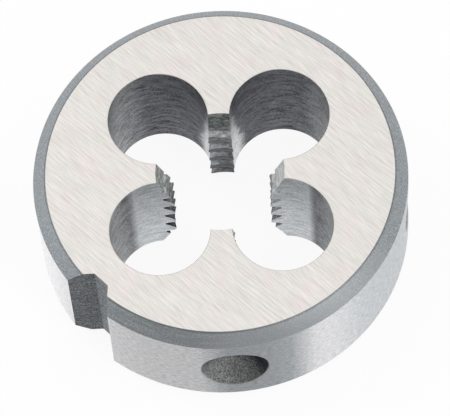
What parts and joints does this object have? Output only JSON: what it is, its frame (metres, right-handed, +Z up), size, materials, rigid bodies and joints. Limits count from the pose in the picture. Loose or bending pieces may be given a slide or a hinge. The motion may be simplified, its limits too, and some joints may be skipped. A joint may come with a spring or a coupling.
{
  "type": "round threading die",
  "caption": "Solid round die of ground steel for cutting an outside thread: toothed lands between round chip holes, bevelled rim with a notch and conical screw dimples.",
  "frame": {"origin": "centre of the bottom face, on the die's axis", "axes": "+Z up along the axis towards the lead side; the lands lie along X and Y, and the notch is at 223.5 degrees from +X"},
  "size_m": [0.025, 0.025, 0.009],
  "materials": {
    "die_steel": "hardened steel, ground faces and rim, blasted bevels, notch and dimples"
  },
  "bodies": {
    "root": {"die_body": "die_steel"}
  },
  "joints": []
}
